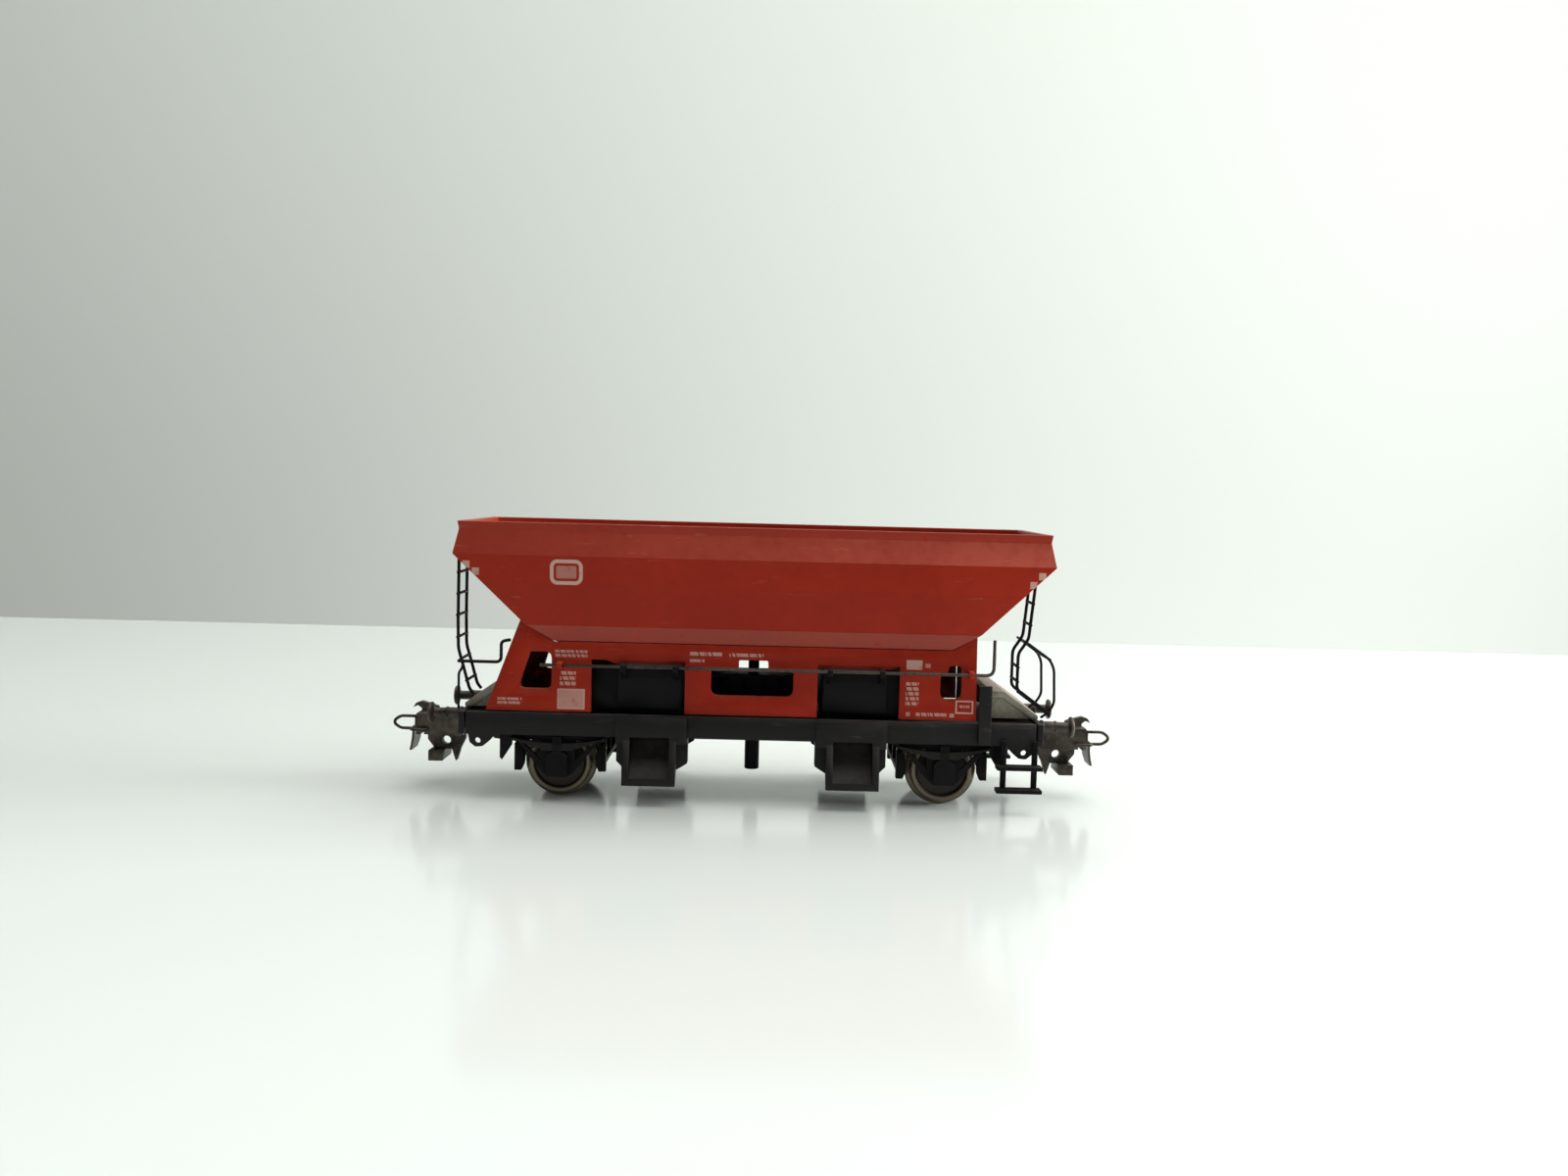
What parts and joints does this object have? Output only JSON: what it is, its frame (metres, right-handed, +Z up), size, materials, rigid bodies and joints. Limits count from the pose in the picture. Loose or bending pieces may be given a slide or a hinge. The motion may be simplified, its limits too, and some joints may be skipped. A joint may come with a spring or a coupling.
{
  "type": "model hopper car",
  "caption": "Two-axle model railway saddle hopper wagon with open trapezoid body, side discharge flaps and chutes, end ladders and hook-and-loop couplers.",
  "frame": {"origin": "midway between the axles and midway across the wagon, on the plane of the wheel flanges' lowest points", "axes": "+X along the track towards the brakeman's platform, +Y across it, +Z up"},
  "size_m": [0.1344, 0.034, 0.0498],
  "materials": {
    "red_plastic": "oxide red moulded plastic, satin",
    "black_plastic": "black moulded plastic, satin",
    "burnished_metal": "blackened, brown-burnished sheet metal and wire",
    "wheel_metal": "turned metal, darkened, with a bright tread",
    "rod_wire": "darkened wire",
    "ballast_metal": "cast metal, dull"
  },
  "bodies": {
    "root": {"axle_guard_far_left": "black_plastic", "axle_guard_far_right": "black_plastic", "axle_guard_near_left": "black_plastic", "axle_guard_near_right": "black_plastic", "brake_gear_left": "black_plastic", "brake_gear_right": "black_plastic", "buffer_far_left": "burnished_metal", "buffer_far_right": "burnished_metal", "buffer_near_left": "burnished_metal", "buffer_near_right": "burnished_metal", "centre_block": "black_plastic", "centre_boss": "black_plastic", "centre_post": "black_plastic", "chute_far_left": "black_plastic", "chute_far_right": "black_plastic", "chute_near_left": "black_plastic", "chute_near_right": "black_plastic", "coupler_screw_left": "burnished_metal", "coupler_screw_right": "burnished_metal", "end_wedge_left": "ballast_metal", "end_wedge_right": "ballast_metal", "footstep_far": "black_plastic", "footstep_near": "black_plastic", "headstock_left": "black_plastic", "headstock_right": "black_plastic", "hopper_shell": "red_plastic", "ladder_left": "black_plastic", "ladder_right": "black_plastic", "ladder_stay_left": "black_plastic", "outlet_block_left": "black_plastic", "outlet_block_right": "black_plastic", "platform_railing": "black_plastic", "side_wall_far": "red_plastic", "side_wall_near": "red_plastic", "sill_far": "black_plastic", "sill_near": "black_plastic", "stanchion_far": "black_plastic", "stanchion_near": "black_plastic", "underframe_floor": "black_plastic"},
    "wheelset_left": {"axle_left": "wheel_metal", "wheel_near_left": "wheel_metal", "wheel_far_left": "wheel_metal"},
    "wheelset_right": {"axle_right": "wheel_metal", "wheel_near_right": "wheel_metal", "wheel_far_right": "wheel_metal"},
    "gate_near": {"gate_rod_near": "rod_wire", "flap_near_left": "black_plastic", "flap_near_right": "black_plastic"},
    "gate_far": {"gate_rod_far": "rod_wire", "flap_far_left": "black_plastic", "flap_far_right": "black_plastic"},
    "coupler_left": {"coupler_head_left": "burnished_metal"},
    "coupler_right": {"coupler_head_right": "burnished_metal"},
    "loop_left": {"coupler_loop_left": "burnished_metal"},
    "loop_right": {"coupler_loop_right": "burnished_metal"}
  },
  "joints": [
    {"name": "wheelset_left_spin", "type": "hinge", "parent": "root", "child": "wheelset_left", "pos_m": [-0.0345, 0, 0.00655], "axis": [0, 1, 0], "continuous": true},
    {"name": "wheelset_right_spin", "type": "hinge", "parent": "root", "child": "wheelset_right", "pos_m": [0.0345, 0, 0.00655], "axis": [0, 1, 0], "continuous": true},
    {"name": "gate_near_open", "type": "hinge", "parent": "root", "child": "gate_near", "pos_m": [0, -0.0149, 0.0248], "axis": [-1, 0, 0], "range_deg": [0, 50]},
    {"name": "gate_far_open", "type": "hinge", "parent": "root", "child": "gate_far", "pos_m": [0, 0.0149, 0.0248], "axis": [1, 0, 0], "range_deg": [0, 50]},
    {"name": "coupler_left_swing", "type": "hinge", "parent": "root", "child": "coupler_left", "pos_m": [-0.047, 0, 0.011], "axis": [0, 0, 1], "range_deg": [-11, 11]},
    {"name": "coupler_right_swing", "type": "hinge", "parent": "root", "child": "coupler_right", "pos_m": [0.047, 0, 0.011], "axis": [0, 0, 1], "range_deg": [-11, 11]},
    {"name": "loop_left_lift", "type": "hinge", "parent": "coupler_left", "child": "loop_left", "pos_m": [-0.0604, 0, 0.0108], "axis": [0, 1, 0], "range_deg": [0, 15]},
    {"name": "loop_right_lift", "type": "hinge", "parent": "coupler_right", "child": "loop_right", "pos_m": [0.0604, 0, 0.0108], "axis": [0, -1, 0], "range_deg": [0, 15]}
  ]
}
